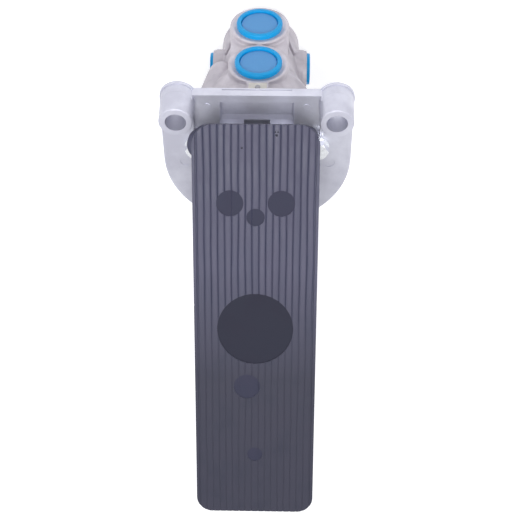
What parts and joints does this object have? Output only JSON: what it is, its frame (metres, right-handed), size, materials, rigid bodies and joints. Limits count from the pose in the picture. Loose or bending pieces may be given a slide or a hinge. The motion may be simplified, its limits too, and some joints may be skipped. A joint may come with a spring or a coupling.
{
  "type": "foot brake valve",
  "caption": "Foot brake valve: ribbed rubber treadle hinged on a cast mounting plate, with a ported two-circuit valve body hung below it.",
  "frame": {"origin": "valve axis on the mounting plate's under face", "axes": "+Z along the valve axis up to the treadle, +Y towards the treadle's toe, +X to the right seen from the heel"},
  "size_m": [0.1254, 0.2554, 0.2855],
  "materials": {
    "cast_plate": "cast, lightly brushed top",
    "cast_body": "matte sand-cast skin",
    "tread_rubber": "ribbed, satin",
    "treadle_casting": "black paint",
    "zinc_steel": "bright zinc plate",
    "bare_steel": "machined",
    "spring_steel": "oiled spring wire",
    "blue_plastic": "moulded, glossy",
    "black_rubber": "moulded, matte",
    "bronze": "sintered bronze",
    "piston_alloy": "machined",
    "gasket_board": "pressed fibre",
    "cream_tag": "bare plastic"
  },
  "bodies": {
    "plate_and_body": {"mounting_plate": "cast_plate", "treadle_pivot_pin": "zinc_steel", "pivot_cotter_pin": "zinc_steel", "plunger_boot": "black_rubber", "primary_return_spring": "spring_steel", "primary_valve_spring": "spring_steel", "primary_valve_retainer": "piston_alloy", "primary_retaining_ring": "spring_steel", "relay_return_spring": "spring_steel", "secondary_seat": "piston_alloy", "secondary_seat_seal": "black_rubber", "secondary_valve_spring": "spring_steel", "secondary_valve_retainer": "piston_alloy", "secondary_retaining_ring": "spring_steel", "valve_body": "cast_body", "flange_gasket": "gasket_board", "body_screws": "zinc_steel", "lock_washers": "zinc_steel", "upper_front_plug": "blue_plastic", "lower_front_plug": "blue_plastic", "upper_rear_plug": "blue_plastic", "lower_rear_plug": "blue_plastic", "left_side_plug": "blue_plastic", "right_side_plug": "blue_plastic", "exhaust_cover": "cast_body", "exhaust_cover_screws": "zinc_steel", "exhaust_flap": "black_rubber", "exhaust_flap_screw": "zinc_steel", "inspection_tag": "cream_tag", "tag_pin": "bare_steel"},
    "treadle": {"treadle": "treadle_casting", "treadle_cover": "tread_rubber", "pivot_bushings": "bronze", "roller_pin": "zinc_steel", "roller_cotter_pin": "zinc_steel"},
    "roller": {"roller": "bare_steel"},
    "plunger": {"plunger": "bare_steel", "spring_seat": "bare_steel"},
    "primary_piston": {"primary_piston": "piston_alloy", "primary_piston_seal": "black_rubber", "graduating_spring": "black_rubber"},
    "primary_valve": {"primary_inlet_valve": "bronze"},
    "relay_piston": {"relay_piston": "piston_alloy", "relay_piston_seal": "black_rubber"},
    "secondary_valve": {"secondary_inlet_valve": "bronze"}
  },
  "joints": [
    {"name": "treadle_pivot", "type": "hinge", "parent": "plate_and_body", "child": "treadle", "pos_m": [0, -0.027, 0.025], "axis": [-1, 0, 0], "range_deg": [0, 18], "stiffness_Nm_per_rad": 10, "springref_deg": -14.32},
    {"name": "roller_spin", "type": "hinge", "parent": "treadle", "child": "roller", "pos_m": [0, 0, 0.036], "axis": [1, 0, 0], "continuous": true},
    {"name": "plunger_slide", "type": "slide", "parent": "plate_and_body", "child": "plunger", "axis": [0, 0, -1], "range_m": [0, 0.00891], "deforming": ["plunger_boot", "graduating_spring"]},
    {"name": "primary_piston_slide", "type": "slide", "parent": "plate_and_body", "child": "primary_piston", "axis": [0, 0, -1], "range_m": [0, 0.00501], "deforming": ["primary_return_spring"]},
    {"name": "primary_valve_slide", "type": "slide", "parent": "plate_and_body", "child": "primary_valve", "axis": [0, 0, -1], "range_m": [0, 0.00361], "deforming": ["primary_valve_spring"]},
    {"name": "relay_piston_slide", "type": "slide", "parent": "plate_and_body", "child": "relay_piston", "axis": [0, 0, -1], "range_m": [0, 0.00441], "deforming": ["relay_return_spring"]},
    {"name": "secondary_valve_slide", "type": "slide", "parent": "plate_and_body", "child": "secondary_valve", "axis": [0, 0, -1], "range_m": [0, 0.00301], "deforming": ["secondary_valve_spring"]}
  ],
  "couplings": [
    {"joint": "plunger_slide", "follows": "treadle_pivot", "m_per_rad": 0.02833},
    {"joint": "primary_piston_slide", "follows": "treadle_pivot", "m_per_rad": 0.015915},
    {"joint": "primary_valve_slide", "follows": "treadle_pivot", "m_per_rad": 0.011459},
    {"joint": "relay_piston_slide", "follows": "treadle_pivot", "m_per_rad": 0.014006},
    {"joint": "secondary_valve_slide", "follows": "treadle_pivot", "m_per_rad": 0.009549}
  ]
}
